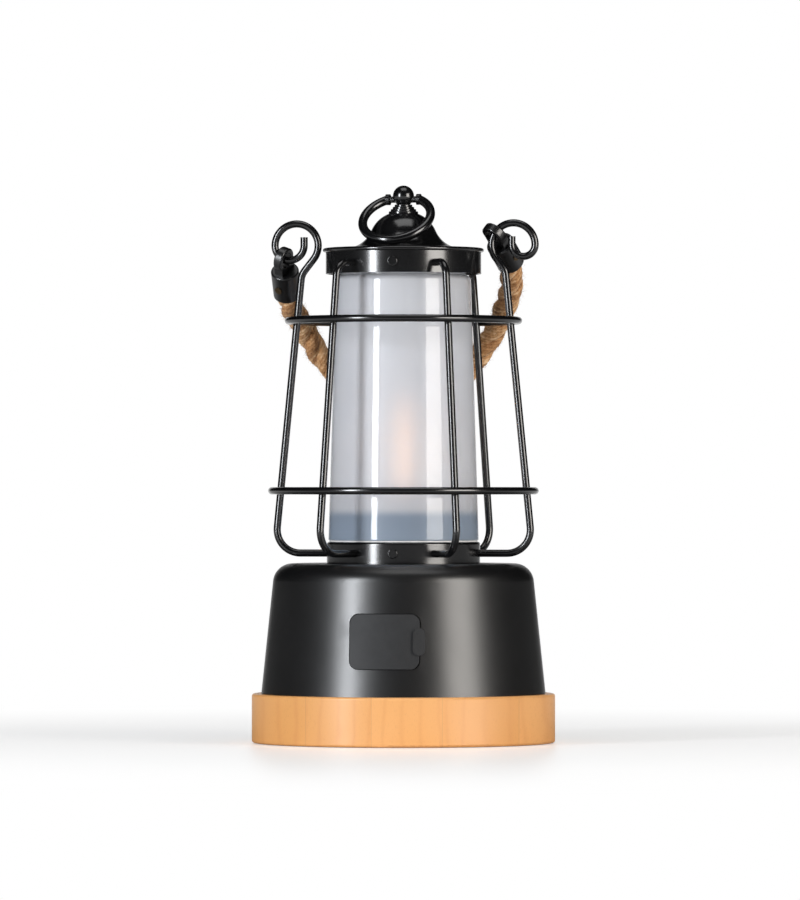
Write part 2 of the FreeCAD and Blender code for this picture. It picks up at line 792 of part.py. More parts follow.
def cap():
    """Spun cap: rolled brim, flared bell, hollow below, with a skirt inside the band."""
    dome, flare = bell_arcs(0)
    inner_dome, inner_flare = bell_arcs(CAP_WALL)
    brim_top = flare[2].z
    low = BAND_TOP_Z
    skirt_low = BAND_TOP_Z - SKIRT_H
    skirt_r = skirt_outer_r()
    hole = STUD_R + SLIP
    roll = (brim_top - low) / 2
    points = [
        at(hole, inner_dome[0].z),
        at(hole, dome[0].z),
        dome[0],
        dome[2],
        flare[2],
        at(brim_r() - roll, brim_top),
        at(brim_r() - roll, low),
        at(skirt_r, low),
        at(skirt_r, skirt_low),
        at(skirt_r - CAP_WALL, skirt_low),
        at(skirt_r - CAP_WALL, low),
        at(inner_flare[2].x, low),
        inner_flare[2],
        inner_dome[2],
        inner_dome[0],
    ]
    curved = {2: dome[1], 3: flare[1], 5: at(brim_r(), low + roll), 12: inner_flare[1], 13: inner_dome[1]}
    edges = []
    for i, start in enumerate(points):
        end = points[(i + 1) % len(points)]
        if i in curved:
            edges.append(Part.Arc(start, curved[i], end).toShape())
        elif start.distanceToPoint(end) > 1e-6:
            edges.append(Part.LineSegment(start, end).toShape())
    body = spun(Part.Face(Part.Wire(edges)))
    return body.cut(round_holes(SMALL_SCREW_R + PRESS, brim_r(), screw_z(), SMALL_SCREW_ANGLES))


def finial():
    """Stepped foot, neck and ball, on a stud through the cap; the ball is drilled for the ring's pins."""
    low = cap_top_z()
    corners = [(0, low - STUD_LENGTH), (STUD_R, low - STUD_LENGTH), (STUD_R, low)]
    z = low
    for r in FINIAL_STEP_RS:
        corners.append((r, z))
        z += FINIAL_STEP_H
        corners.append((r, z, FINIAL_STEP_EDGE_R))
    corners += [(FINIAL_NECK_R, z), (FINIAL_NECK_R, BALL_Z), (0, BALL_Z)]
    body = spun_corners(*corners).fuse(Part.makeSphere(BALL_R, at(0, BALL_Z)))
    drill = cylinder(RING_PIN_R + RUN, at(-BALL_R, ring_pivot_z()), at(BALL_R, ring_pivot_z()))
    return turned(body.cut(drill), FINIAL_TURN_DEG)


def finial_nut():
    """Nut on the finial's stud, under the bell."""
    top = cap_top_z() - CAP_WALL
    nut = hexagon(NUT_ACROSS, NUT_H, top - NUT_H - PRESS)
    return nut.cut(Part.makeCylinder(STUD_R + PRESS, 2 * NUT_H, at(0, top - 1.5 * NUT_H)))


# ---------------------------------------------------------------- hanging ring

def ring_pivot_z():
    return BALL_Z - RING_PIVOT_DROP


def ring_centre_drop():
    """Distance from the pivot to the ring's centre, so that its ends meet the pins."""
    return math.sqrt(RING_CIRCLE_R ** 2 - RING_BEAD_X ** 2)


def ring_lean():
    """Lean from straight down at which the ring's lowest point rests against the bell."""
    reach = ring_centre_drop() + RING_CIRCLE_R
    dome, flare = bell_arcs(0)
    skin = Part.Wire([Part.Arc(*dome).toShape(), Part.Arc(*flare).toShape()])
    stand_off = RING_WIRE_R + REST
    low, high = 0.0, math.pi / 2
    for _ in range(24):
        lean = (low + high) / 2
        point = Part.Vertex(at(reach * math.sin(lean), ring_pivot_z() - reach * math.cos(lean)))
        inside = point.Point.x < flare[2].x and point.distToShape(skin)[0] < stand_off
        if inside or point.Point.z < flare[2].z + stand_off:
            low = lean
        else:
            high = lean
    return math.degrees(high)


def hanging_ring():
    """Ring with beaded ends on two short pins, modelled straight down and leant forward."""
    drop = ring_centre_drop()
    ends = [at(-RING_BEAD_X, 0), at(0, -drop - RING_CIRCLE_R), at(RING_BEAD_X, 0)]
    ring = tube([Part.Arc(*ends).toShape()], RING_WIRE_R)
    inner_x = BALL_R - RING_PIN_DEPTH
    bead_in = RING_BEAD_X - RING_BEAD_W / 2
    bead_out = RING_BEAD_X + RING_BEAD_W / 2
    for side in (-1, 1):
        pin = cylinder(RING_PIN_R, at(side * inner_x, 0), at(side * bead_in, 0))
        bead = cylinder(RING_BEAD_R, at(side * bead_in, 0), at(side * bead_out, 0))
        ring = ring.fuse(bead).fuse(pin)
    ring = turned(ring, -ring_lean(), X_AXIS)
    ring.translate(at(0, ring_pivot_z()))
    return turned(ring, FINIAL_TURN_DEG)


# ---------------------------------------------------------------- cage

def plain_wires():
    """Angle of each plain wire round the lamp, under its place's name."""
    return {
        "back_right": WIRE_BACK_DEG,
        "back_left": 180 - WIRE_BACK_DEG,
        "front_left": 180 + WIRE_FRONT_DEG,
        "front_right": -WIRE_FRONT_DEG,
    }


def wire_angles():
    return [0, 180, *plain_wires().values()]


def cage_slope():
    """Slope of the wires from upright, set by the two rings."""
    return math.atan((RING_LOWER_OUT_R - RING_UPPER_OUT_R) / (RING_UPPER_Z - RING_LOWER_Z))


def ring_centre_r(outer_r):
    return outer_r - WIRE_R


def wire_line_r(z):
    """Distance of a wire's centre line from the axis at a height; the rings lie outside the wires."""
    slope = cage_slope()
    beside = (2 * WIRE_R + PRESS) / math.cos(slope)
    return ring_centre_r(RING_UPPER_OUT_R) - beside + (RING_UPPER_Z - z) * math.tan(slope)


def wire_foot_points():
    """Start of every wire inside the drum's neck, and its lower corner."""
    return [at(neck_inner_r() - COLLAR_WALL, WIRE_FOOT_Z), at(wire_line_r(WIRE_FOOT_Z), WIRE_FOOT_Z)]


def plain_wire():
    """Wire in at the collar, up the slope and in at the cap band."""
    end = at(band_r() - BAND_WALL + PRESS, WIRE_TOP_Z)
    points = wire_foot_points() + [at(wire_line_r(WIRE_TOP_Z), WIRE_TOP_Z), end]
    return tube(path_edges(points, (WIRE_FOOT_BEND_R, WIRE_TOP_BEND_R)), WIRE_R)


def loop_end_centre(centre_r, end_r):
    """Centre of the smaller arc that closes a hook's loop, level with the larger one."""
    return at(centre_r + LOOP_R - end_r, LOOP_CENTRE_Z)


def hook_wire(centre_r, end_r):
    """Wire from the collar up into a flat spiral: slope, neck bend, large arc, small arc and tip."""
    centre = at(centre_r, LOOP_CENTRE_Z)
    enter = math.pi + LOOP_LEAD_IN
    touch = centre + at(math.cos(enter), math.sin(enter)) * LOOP_R
    heading = at(math.sin(LOOP_LEAD_IN), -math.cos(LOOP_LEAD_IN))
    gap = wire_line_r(touch.z) - touch.x
    run = gap / (heading.x + heading.z * math.tan(cage_slope()))
    points = wire_foot_points() + [touch + heading * run, touch]
    edges = path_edges(points, (WIRE_FOOT_BEND_R, LOOP_NECK_BEND_R))
    over = centre + at(math.cos(enter / 2), math.sin(enter / 2)) * LOOP_R
    outermost = centre + X_AXIS * LOOP_R
    small = loop_end_centre(centre_r, end_r)
    inner_end = small - X_AXIS * end_r
    edges.append(Part.Arc(touch, over, outermost).toShape())
    edges.append(Part.Arc(outermost, small - Z_AXIS * end_r, inner_end).toShape())
    edges.append(Part.LineSegment(inner_end, inner_end + Z_AXIS * LOOP_TIP).toShape())
    return tube(edges, WIRE_R)


def cage_ring(outer_r, z):
    return Part.makeTorus(ring_centre_r(outer_r), WIRE_R, at(0, z))


# ---------------------------------------------------------------- rope handle

def left_hang():
    """Where the left ferrule hangs, the wire's heading there and the way the ferrule points."""
    angle = math.radians(LEFT_HANG_DEG)
    out = at(math.cos(angle), math.sin(angle))
    point = loop_end_centre(LOOP_CENTRE_RS[0], LOOP_END_RS[0]) + out * LOOP_END_RS[0]
    return at(-point.x, point.z), at(-out.z, -out.x), FreeCAD.Vector(*LEFT_POINTS).normalize()


def right_hang():
    """The same for the right ferrule, which has run up the inner side of its loop."""
    angle = math.radians(RIGHT_HANG_DEG)
    out = at(math.cos(angle), math.sin(angle))
    point = at(LOOP_CENTRE_RS[1], LOOP_CENTRE_Z) + out * LOOP_R
    return point, at(out.z, -out.x), FreeCAD.Vector(*RIGHT_POINTS).normalize()


def handle_axis():
    """The line through the two eyes that the handle swings about."""
    return (right_hang()[0] - left_hang()[0]).normalize()


def eye_axis(heading, pointing):
    """Axis of an eye's hole: along the wire when the handle is midway, and square to the ferrule."""
    back = FreeCAD.Rotation(handle_axis(), -HANDLE_MIDWAY_DEG)
    wanted = back.multVec(heading)
    return (wanted - pointing * wanted.dot(pointing)).normalize()


def hung(shape, point, heading, pointing):
    """Moves a shape built below the origin, its eye along X, to where a ferrule hangs."""
    across = eye_axis(heading, pointing)
    up = pointing * -1
    side = up.cross(across)
    copy = shape.copy()
    matrix = FreeCAD.Matrix(
        across.x, side.x, up.x, point.x,
        across.y, side.y, up.y, point.y,
        across.z, side.z, up.z, point.z,
        0, 0, 0, 1,
    )
    copy.transformShape(matrix)
    return copy


def eye_hole_r():
    """The least round hole that lets the curved wire through at every angle of the handle."""
    half = EYE_T / 2
    sag = LOOP_R - math.sqrt(LOOP_R ** 2 - half ** 2)
    return WIRE_R / math.cos(EYE_LEAN) + half * math.tan(EYE_LEAN) + sag + SLIP


def ferrule():
    """Cap with an eye on its flat top, open at its mouth for the rope."""
    top = -FERRULE_SHOULDER
    body = spun_corners(
        (0, -FERRULE_LENGTH),
        (FERRULE_R, -FERRULE_LENGTH, FERRULE_EDGE_R / 2),
        (FERRULE_R, top, FERRULE_EDGE_R),
        (0, top),
    )
    half = EYE_T / 2
    eye = cylinder(EYE_R, at(-half, 0), at(half, 0))
    eye = eye.makeFillet(EYE_EDGE_R, [edge_at(eye, -half), edge_at(eye, half)])
    web = block((-half, -EYE_R + EYE_EDGE_R, top - FERRULE_EDGE_R), (half, EYE_R - EYE_EDGE_R, 0))
    hole = cylinder(eye_hole_r(), at(-EYE_R, 0), at(EYE_R, 0))
    bore = Part.makeCylinder(ROPE_R + 2 * PRESS, FERRULE_SOCKET, at(0, -FERRULE_LENGTH))
    return body.fuse(web).fuse(eye).cut(hole).cut(bore).cut(rivet_shank(RIVET_R + PRESS))


def rivet_shank(radius):
    """A bar across a ferrule, where its rivet goes."""
    reach = FERRULE_R + PRESS
    return cylinder(radius, FreeCAD.Vector(0, -reach, -RIVET_AT), FreeCAD.Vector(0, reach, -RIVET_AT))


def ferrule_rivets():
    """A headed rivet across each ferrule and the rope in it."""
    along = FreeCAD.Vector(0, 1, 0)
    seat = FreeCAD.Vector(0, FERRULE_R + PRESS, -RIVET_AT)
    rivet = rivet_shank(RIVET_R)
    head = Part.makeCylinder(RIVET_HEAD_R, RIVET_HEAD_H, seat, along)
    rivet = rivet.fuse(head).fuse(turned(head, 180))
    return Part.makeCompound([hung(rivet, *left_hang()), hung(rivet, *right_hang())])


def rope_route():
    """Corners of the rope, from the bottom of one ferrule's socket to the other's."""
    ends = []
    for point, _, pointing in (left_hang(), right_hang()):
        for reach in (FERRULE_LENGTH - FERRULE_SOCKET, ROPE_LEAVES):
            ends.append(point + pointing * reach)
    middle = [FreeCAD.Vector(*p) for p in ROPE_POINTS]
    return [ends[0], ends[1]] + middle + [ends[3], ends[2]]


def corner_radii(points):
    """An arc at each inner point as large as its two runs allow: 0.45 of the shorter run."""
    radii = []
    for before, corner, after in zip(points, points[1:], points[2:]):
        shorter = min(before.distanceToPoint(corner), corner.distanceToPoint(after))
        turn = math.pi - (before - corner).getAngle(after - corner)
        radii.append(0.45 * shorter / math.tan(turn / 2))
    return radii


def handle_rope():
    """The rope from socket to socket, with a hole where each rivet crosses it."""
    points = rope_route()
    radii = corner_radii(points)
    edges = path_edges(points, radii)
    length = sum(edge.Length for edge in edges)
    rope = tube(edges, ROPE_R)
    print("rope length", round(length, 1), "bend radii", [round(r, 1) for r in radii])
    print("rope volume over section times length", round(rope.Volume / (math.pi * ROPE_R ** 2 * length), 4))
    drill = rivet_shank(RIVET_R + PRESS)
    return rope.cut(hung(drill, *left_hang())).cut(hung(drill, *right_hang()))


# ---------------------------------------------------------------- the lamp

def sub_parts():
    """Every sub-part under its node's name."""
    parts = {
        "wood_base": wood_base(),
        "foot_pads": foot_pads(),
        "base_screws": base_screws(),
        "housing": housing(),
        "housing_floor": housing_floor(),
        "battery_holder": battery_holder(),
        "battery_cells": battery_cells(),
        "circuit_board": circuit_board(),
        "usb_socket": usb_socket(),
        "charging_socket": charging_socket(),
        "port_panel": port_panel(),
        "port_flap": port_flap(),
        "dimmer_control": dimmer_control(),
        "dimmer_shaft": dimmer_shaft(),
        "dimmer_nut": dimmer_nut(),
        "dimmer_knob": dimmer_knob(),
        "collar": collar(),
        "collar_screws": collar_screws(),
        "led_seat": led_seat(),
        "led_post": led_post(),
        "led_flame": led_flame(),
        "chimney_seal_lower": chimney_seal_lower(),
        "chimney": chimney(),
        "chimney_seal_upper": chimney_seal_upper(),
        "cap_band": cap_band(),
        "cap": cap(),
        "cap_screws": cap_screws(),
        "finial": finial(),
        "finial_nut": finial_nut(),
        "hanging_ring": hanging_ring(),
        "cage_ring_upper": cage_ring(RING_UPPER_OUT_R, RING_UPPER_Z),
        "cage_ring_lower": cage_ring(RING_LOWER_OUT_R, RING_LOWER_Z),
        "hook_wire_right": hook_wire(LOOP_CENTRE_RS[1], LOOP_END_RS[1]),
        "hook_wire_left": turned(hook_wire(LOOP_CENTRE_RS[0], LOOP_END_RS[0]), 180),
        "ferrule_left": hung(ferrule(), *left_hang()),
        "ferrule_right": hung(ferrule(), *right_hang()),
        "ferrule_rivets": ferrule_rivets(),
        "handle_rope": handle_rope(),
    }
    for place, angle in plain_wires().items():
        parts["cage_wire_" + place] = turned(plain_wire(), angle)
    return parts


def main():
    os.makedirs("parts", exist_ok=True)
    for name, shape in sub_parts().items():
        if not shape.isValid() or shape.Volume <= 0:
            raise ValueError(name + " is not a sound solid")
        shape.exportStep("parts/" + name + ".step")


main()
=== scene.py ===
"""Looks of the lantern table lamp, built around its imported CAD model. Metres, +Z up."""
import bmesh
import bpy
import math
import random
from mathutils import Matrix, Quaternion, Vector


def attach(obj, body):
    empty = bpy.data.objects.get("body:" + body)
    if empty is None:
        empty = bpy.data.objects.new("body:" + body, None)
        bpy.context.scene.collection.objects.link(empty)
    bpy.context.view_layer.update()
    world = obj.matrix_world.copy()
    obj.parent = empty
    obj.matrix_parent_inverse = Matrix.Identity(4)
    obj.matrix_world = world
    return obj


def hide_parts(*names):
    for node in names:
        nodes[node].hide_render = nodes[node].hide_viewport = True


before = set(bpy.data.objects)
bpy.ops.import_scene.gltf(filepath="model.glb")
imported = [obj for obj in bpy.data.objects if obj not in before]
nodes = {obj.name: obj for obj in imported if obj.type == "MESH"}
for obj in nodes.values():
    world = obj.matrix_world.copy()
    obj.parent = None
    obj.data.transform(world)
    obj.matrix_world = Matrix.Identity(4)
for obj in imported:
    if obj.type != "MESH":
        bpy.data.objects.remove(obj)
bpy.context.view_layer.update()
scene = bpy.context.scene

# ---------------------------------------------------------------- camera

CAMERA_AZIMUTH = math.radians(8.0)
CAMERA_DISTANCE = 3.3
CAMERA_Z = 0.1186
AIM_Z = 0.1349
AXIS_OFFSET = 0.0016
CAMERA_LENS = 286.0


def round_lamp(azimuth, distance, z):
    """A point round the lamp; azimuth 0 is in front of the port flap."""
    return Vector((math.sin(azimuth) * distance, -math.cos(azimuth) * distance, z))


def make_camera():
    data = bpy.data.cameras.new("camera")
    data.lens = CAMERA_LENS
    data.sensor_width = 36.0
    data.clip_start = 0.1
    data.clip_end = 50.0
    camera = bpy.data.objects.new("camera", data)
    scene.collection.objects.link(camera)
    aside = Vector((math.cos(CAMERA_AZIMUTH), math.sin(CAMERA_AZIMUTH), 0)) * -AXIS_OFFSET
    place = round_lamp(CAMERA_AZIMUTH, CAMERA_DISTANCE, CAMERA_Z) + aside
    aim = Vector((0, 0, AIM_Z)) + aside
    camera.location = place
    camera.rotation_mode = "QUATERNION"
    camera.rotation_quaternion = (aim - place).to_track_quat("-Z", "Y")
    scene.camera = camera


# ---------------------------------------------------------------- rope handle

# Control points of the rope's line, from the left ferrule's socket to the right one's
ROPE_ROUTE = (
    (-0.05625, 0.00623, 0.21674),
    (-0.05668, 0.02075, 0.20158),
    (-0.05330, 0.03850, 0.19490),
    (-0.04840, 0.05020, 0.18110),
    (-0.03930, 0.05630, 0.17040),
    (-0.02600, 0.05850, 0.16250),
    (-0.00900, 0.05960, 0.15830),
    (0.00790, 0.05940, 0.16160),
    (0.02000, 0.05850, 0.16940),
    (0.02820, 0.05860, 0.18040),
    (0.03830, 0.05190, 0.19480),
    (0.04986, 0.02313, 0.21688),
    (0.04461, 0.00694, 0.22918),
)
STRANDS = 3
STRAND_R = 0.0033
STRAND_OUT = 0.0021
ROPE_LAY = 0.034
YARNS = 9
YARN_LAY = 0.017
YARN_DEPTH = 0.11
RING_STEP = 0.0007
RING_POINTS = 36
WAVES = 6
SWELL = 0.014
UNEVEN = 0.022
ANY_ANGLE = 6.28
FIBRES = 6500
FIBRE_R = 0.00005
FIBRE_STEPS = 5
FIBRE_SIDES = 3
FIBRE_CORNER = 2.094
FIBRE_THINS = 0.18
FIBRE_CURL = 0.28
FIBRE_CLEAR_ROWS = 22


def link(name, mesh):
    thing = bpy.data.objects.new(name, mesh)
    scene.collection.objects.link(thing)
    return thing


def rope_line():
    """Points along the rope's own smooth line, read from its spline."""
    data = bpy.data.curves.new("rope_line", "CURVE")
    data.dimensions = "3D"
    data.resolution_u = 24
    spline = data.splines.new("NURBS")
    spline.points.add(len(ROPE_ROUTE) - 1)
    for point, place in zip(spline.points, ROPE_ROUTE):
        point.co = (*place, 1.0)
    spline.order_u = 3
    spline.use_endpoint_u = True
    holder = link("rope_line", data)
    bpy.context.view_layer.update()
    mesh = bpy.data.meshes.new_from_object(holder)
    line = [v.co.copy() for v in mesh.vertices]
    bpy.data.objects.remove(holder)
    bpy.data.curves.remove(data)
    bpy.data.meshes.remove(mesh)
    return line


def spaced(line, step):
    """The same line in even steps, as (point, heading, distance along)."""
    lengths = [0.0]
    for a, b in zip(line, line[1:]):
        lengths.append(lengths[-1] + (b - a).length)
    count = round(lengths[-1] / step)
    rows = []
    k = 0
    for i in range(count + 1):
        want = lengths[-1] * i / count
        while k < len(line) - 2 and lengths[k + 1] < want:
            k += 1
        share = (want - lengths[k]) / (lengths[k + 1] - lengths[k])
        rows.append((line[k].lerp(line[k + 1], min(share, 1.0)), want))
    out = []
    for i, (point, along) in enumerate(rows):
        before = rows[max(i - 1, 0)][0]
        after = rows[min(i + 1, count)][0]
        out.append((point, (after - before).normalized(), along))
    return out


def framed(rows):
    """Adds a side direction to each row that doesn't twist along the line."""
    side = rows[0][1].orthogonal().normalized()
    out = []
    last = rows[0][1]
    for point, heading, along in rows:
        side = last.rotation_difference(heading) @ side
        side = (side - heading * side.dot(heading)).normalized()
        out.append((point, heading, side, along))
        last = heading
    return out


def strand_rows(rows, turn):
    """Centre line of one strand, laid round the rope's line."""
    centres = []
    for point, heading, side, along in rows:
        angle = turn + 2 * math.pi * along / ROPE_LAY
        out = Quaternion(heading, angle) @ side
        centres.append(point + out * STRAND_OUT)
    lengths = [0.0]
    for a, b in zip(centres, centres[1:]):
        lengths.append(lengths[-1] + (b - a).length)
    count = len(centres)
    lines = []
    for i, centre in enumerate(centres):
        heading = (centres[min(i + 1, count - 1)] - centres[max(i - 1, 0)]).normalized()
        lines.append((centre, heading, lengths[i]))
    return framed(lines)


def rope_mesh(rows):
    """Three strands, each with the ridges of its own yarns, wandering a little in thickness."""
    rng = random.Random(11)
    bm = bmesh.new()
    tone = bm.verts.layers.float.new("tone")
    strands = [strand_rows(rows, 2 * math.pi * k / STRANDS) for k in range(STRANDS)]
    for lines in strands:
        shift = rng.uniform(0, ANY_ANGLE)
        yarn_tones = [rng.uniform(0.0, 1.0) for _ in range(YARNS)]
        waves = [(rng.uniform(60, 420), rng.uniform(0, ANY_ANGLE), rng.uniform(0.4, 1.0))
                 for _ in range(WAVES)]
        before = None
        for centre, heading, side, along in lines:
            swell = sum(w * math.sin(f * along + p) for f, p, w in waves) * SWELL
            ring = []
            for j in range(RING_POINTS):
                angle = 2 * math.pi * j / RING_POINTS
                yarn = YARNS * (angle - 2 * math.pi * along / YARN_LAY + shift) / (2 * math.pi)
                ridge = abs(math.sin(math.pi * yarn))
                radius = STRAND_R * (1 + swell + YARN_DEPTH * (ridge - 0.7) + rng.gauss(0, UNEVEN))
                vert = bm.verts.new(centre + (Quaternion(heading, angle) @ side) * radius)
                own = yarn_tones[math.floor(yarn) % YARNS]
                # Painted shade: 0.3 * ridge makes each yarn's crown lighter and the grooves between
                # yarns darker in the tone attribute
                vert[tone] = min(max(0.55 * own + 0.3 * ridge + rng.gauss(0.1, 0.07), 0), 1)
                ring.append(vert)
            if before:
                for j in range(RING_POINTS):
                    n = (j + 1) % RING_POINTS
                    bm.faces.new((before[j], before[n], ring[n], ring[j]))
            else:
                bm.faces.new(list(reversed(ring)))
            before = ring
        bm.faces.new(before)
    add_fibres(bm, tone, strands, rng)
    for face in bm.faces:
        face.smooth = True
    mesh = bpy.data.meshes.new("rope")
    bm.normal_update()
    bm.to_mesh(mesh)
    bm.free()
    return mesh


def add_fibres(bm, tone, strands, rng):
    """Loose fibres that leave the strands at a low angle and curl away."""
    for _ in range(FIBRES):
        lines = rng.choice(strands)
        row = rng.randrange(FIBRE_CLEAR_ROWS, len(lines) - FIBRE_CLEAR_ROWS)
        centre, heading, side, along = lines[row]
        out = Quaternion(heading, rng.uniform(0, ANY_ANGLE)) @ side
        across = heading.cross(out)
        step = rng.uniform(0.0004, 0.0011)
        way = heading * rng.choice((-1, 1)) + out * rng.uniform(0.05, 0.45)
        way = (way + across * rng.uniform(-0.6, 0.6)).normalized()
        curl = Vector((rng.gauss(0, 1), rng.gauss(0, 1), rng.gauss(0, 1))).normalized()
        place = centre + out * STRAND_R * 0.97
        shade = rng.uniform(0.1, 1.0)
        rings = []
        for k in range(FIBRE_STEPS):
            thin = FIBRE_R * (1 - FIBRE_THINS * k)
            ring = []
            for j in range(FIBRE_SIDES):
                turned = Quaternion(way, FIBRE_CORNER * j) @ way.orthogonal().normalized()
                vert = bm.verts.new(place + turned * thin)
                vert[tone] = shade
                ring.append(vert)
            rings.append(ring)
            place = place + way * step
            way = (way + curl * FIBRE_CURL).normalized()
        for a, b in zip(rings, rings[1:]):
            for j in range(FIBRE_SIDES):
                n = (j + 1) % FIBRE_SIDES
                bm.faces.new((a[j], a[n], b[n], b[j]))
        bm.faces.new(list(reversed(rings[0])))
        bm.faces.new(rings[-1])


def make_rope():
    line = rope_line()
    rows = framed(spaced(line, RING_STEP))
    rope = link("rope", rope_mesh(rows))
    rope.data.materials.append(jute())
    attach(rope, "handle")
    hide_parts("handle_rope")


# ---------------------------------------------------------------- materials

def maths_node(tree, operation, values):
    """The output of a new math node; each value is a number or another node's output."""
    node = tree.nodes.new("ShaderNodeMath")
    node.operation = operation
    for socket, value in zip(node.inputs, values):
        if isinstance(value, bpy.types.NodeSocket):
            tree.links.new(value, socket)
        else:
            socket.default_value = value
    return node.outputs[0]


class Nodes:
    """A material's node tree with a Principled shader, built up call by call."""

    def __init__(self, name, **sockets):
        self.material = bpy.data.materials.new(name)
        self.material.use_nodes = True
        self.tree = self.material.node_tree
        self.shader = self.tree.nodes["Principled BSDF"]
        for socket, value in sockets.items():
            self.shader.inputs[socket.replace("_", " ")].default_value = value
        self.place = self.add("ShaderNodeTexCoord").outputs["Object"]

    def add(self, kind, settings=None, **inputs):
        node = self.tree.nodes.new(kind)
        for key, value in (settings or {}).items():
            setattr(node, key, value)
        for key, value in inputs.items():
            socket = node.inputs[key.replace("_", " ")]
            if isinstance(value, bpy.types.NodeSocket):
                self.tree.links.new(value, socket)
            else:
                socket.default_value = value
        return node

    def join(self, output, socket):
        self.tree.links.new(output, self.shader.inputs[socket])

    def stretched(self, scale, turn=(0, 0, 0)):
        node = self.add("ShaderNodeMapping", Vector=self.place, Scale=scale, Rotation=turn)
        return node.outputs["Vector"]

    def noise(self, scale, detail=4.0, rough=0.55, vector=None, distortion=0.0):
        node = self.add("ShaderNodeTexNoise", Vector=vector or self.place, Scale=scale, Detail=detail,
                        Roughness=rough, Distortion=distortion)
        return node.outputs["Fac"]

    def ramp(self, value, *stops):
        """Colour or grey stops as (position, colour)."""
        node = self.add("ShaderNodeValToRGB", Fac=value)
        ramp = node.color_ramp
        while len(ramp.elements) < len(stops):
            ramp.elements.new(1.0)
        for element, (position, colour) in zip(ramp.elements, stops):
            element.position = position
            shade = colour if isinstance(colour, tuple) else (colour, colour, colour)
            element.color = (*shade, 1.0)
        return node.outputs["Color"]

    def smooth(self, value, low, high):
        """A smooth step from 0 to 1 while the value goes from low to high."""
        node = self.add("ShaderNodeMapRange", {"interpolation_type": "SMOOTHSTEP"}, Value=value,
                        From_Min=low, From_Max=high, To_Min=0.0, To_Max=1.0)
        return node.outputs["Result"]

    def maths(self, operation, a, b=0.0, c=0.0):
        return maths_node(self.tree, operation, (a, b, c))

    def mix(self, share, a, b, blend="MIX"):
        node = self.tree.nodes.new("ShaderNodeMix")
        node.data_type = "RGBA"
        node.blend_type = blend
        for index, value in ((0, share), (6, a), (7, b)):
            if isinstance(value, bpy.types.NodeSocket):
                self.tree.links.new(value, node.inputs[index])
            else:
                node.inputs[index].default_value = value if index == 0 else (*value, 1.0)
        return node.outputs[2]

    def bump(self, height, strength, distance):
        node = self.add("ShaderNodeBump", Height=height, Strength=strength, Distance=distance)
        self.join(node.outputs["Normal"], "Normal")


def paint(name, roughness, peel, colour=(0.0032, 0.0032, 0.0036)):
    """Sprayed satin black: fine peel, faint cloudiness of the gloss and dust in the colour."""
    m = Nodes(name)
    m.shader.inputs["Specular IOR Level"].default_value = 1.0
    cloud = m.noise(38.0, 3.0)
    fine = m.noise(1500.0, 2.0)
    dull = tuple(c * 0.8 for c in colour)
    dusty = tuple(c * 1.35 for c in colour)
    tint = m.ramp(m.noise(420.0, 5.0), (0.3, dull), (0.75, dusty))
    m.join(tint, "Base Color")
    m.join(m.maths("MULTIPLY_ADD", cloud, 0.07, roughness - 0.035), "Roughness")
    m.bump(fine, peel, 0.00004)
    return m.material


def moulded(name, colour, roughness, grain=0.25, scale=1900.0):
    """Moulded plastic or rubber with a fine matt grain."""
    m = Nodes(name)
    light = tuple(min(c * 1.25, 1.0) for c in colour)
    m.join(m.ramp(m.noise(260.0, 4.0), (0.32, colour), (0.72, light)), "Base Color")
    m.join(m.maths("MULTIPLY_ADD", m.noise(55.0, 3.0), 0.12, roughness - 0.06), "Roughness")
    m.bump(m.noise(scale, 3.0, 0.6), grain, 0.00005)
    return m.material


def metal(name, colour, roughness, stretch=(900.0, 900.0, 60.0)):
    """Plated or bare metal with fine drawn lines."""
    m = Nodes(name, Metallic=1.0)
    lines = m.noise(1.0, 4.0, 0.6, m.stretched(stretch))
    dark = tuple(c * 0.72 for c in colour)
    m.join(m.ramp(lines, (0.3, dark), (0.7, colour)), "Base Color")
    m.join(m.maths("MULTIPLY_ADD", lines, 0.2, roughness - 0.1), "Roughness")
    m.bump(lines, 0.15, 0.00003)
    return m.material


BOARD_WIDTH = 0.0317
BOARD_SHIFT = 0.155
GRAIN_PER_METRE = 120.0
GRAIN_WANDER = 1.7


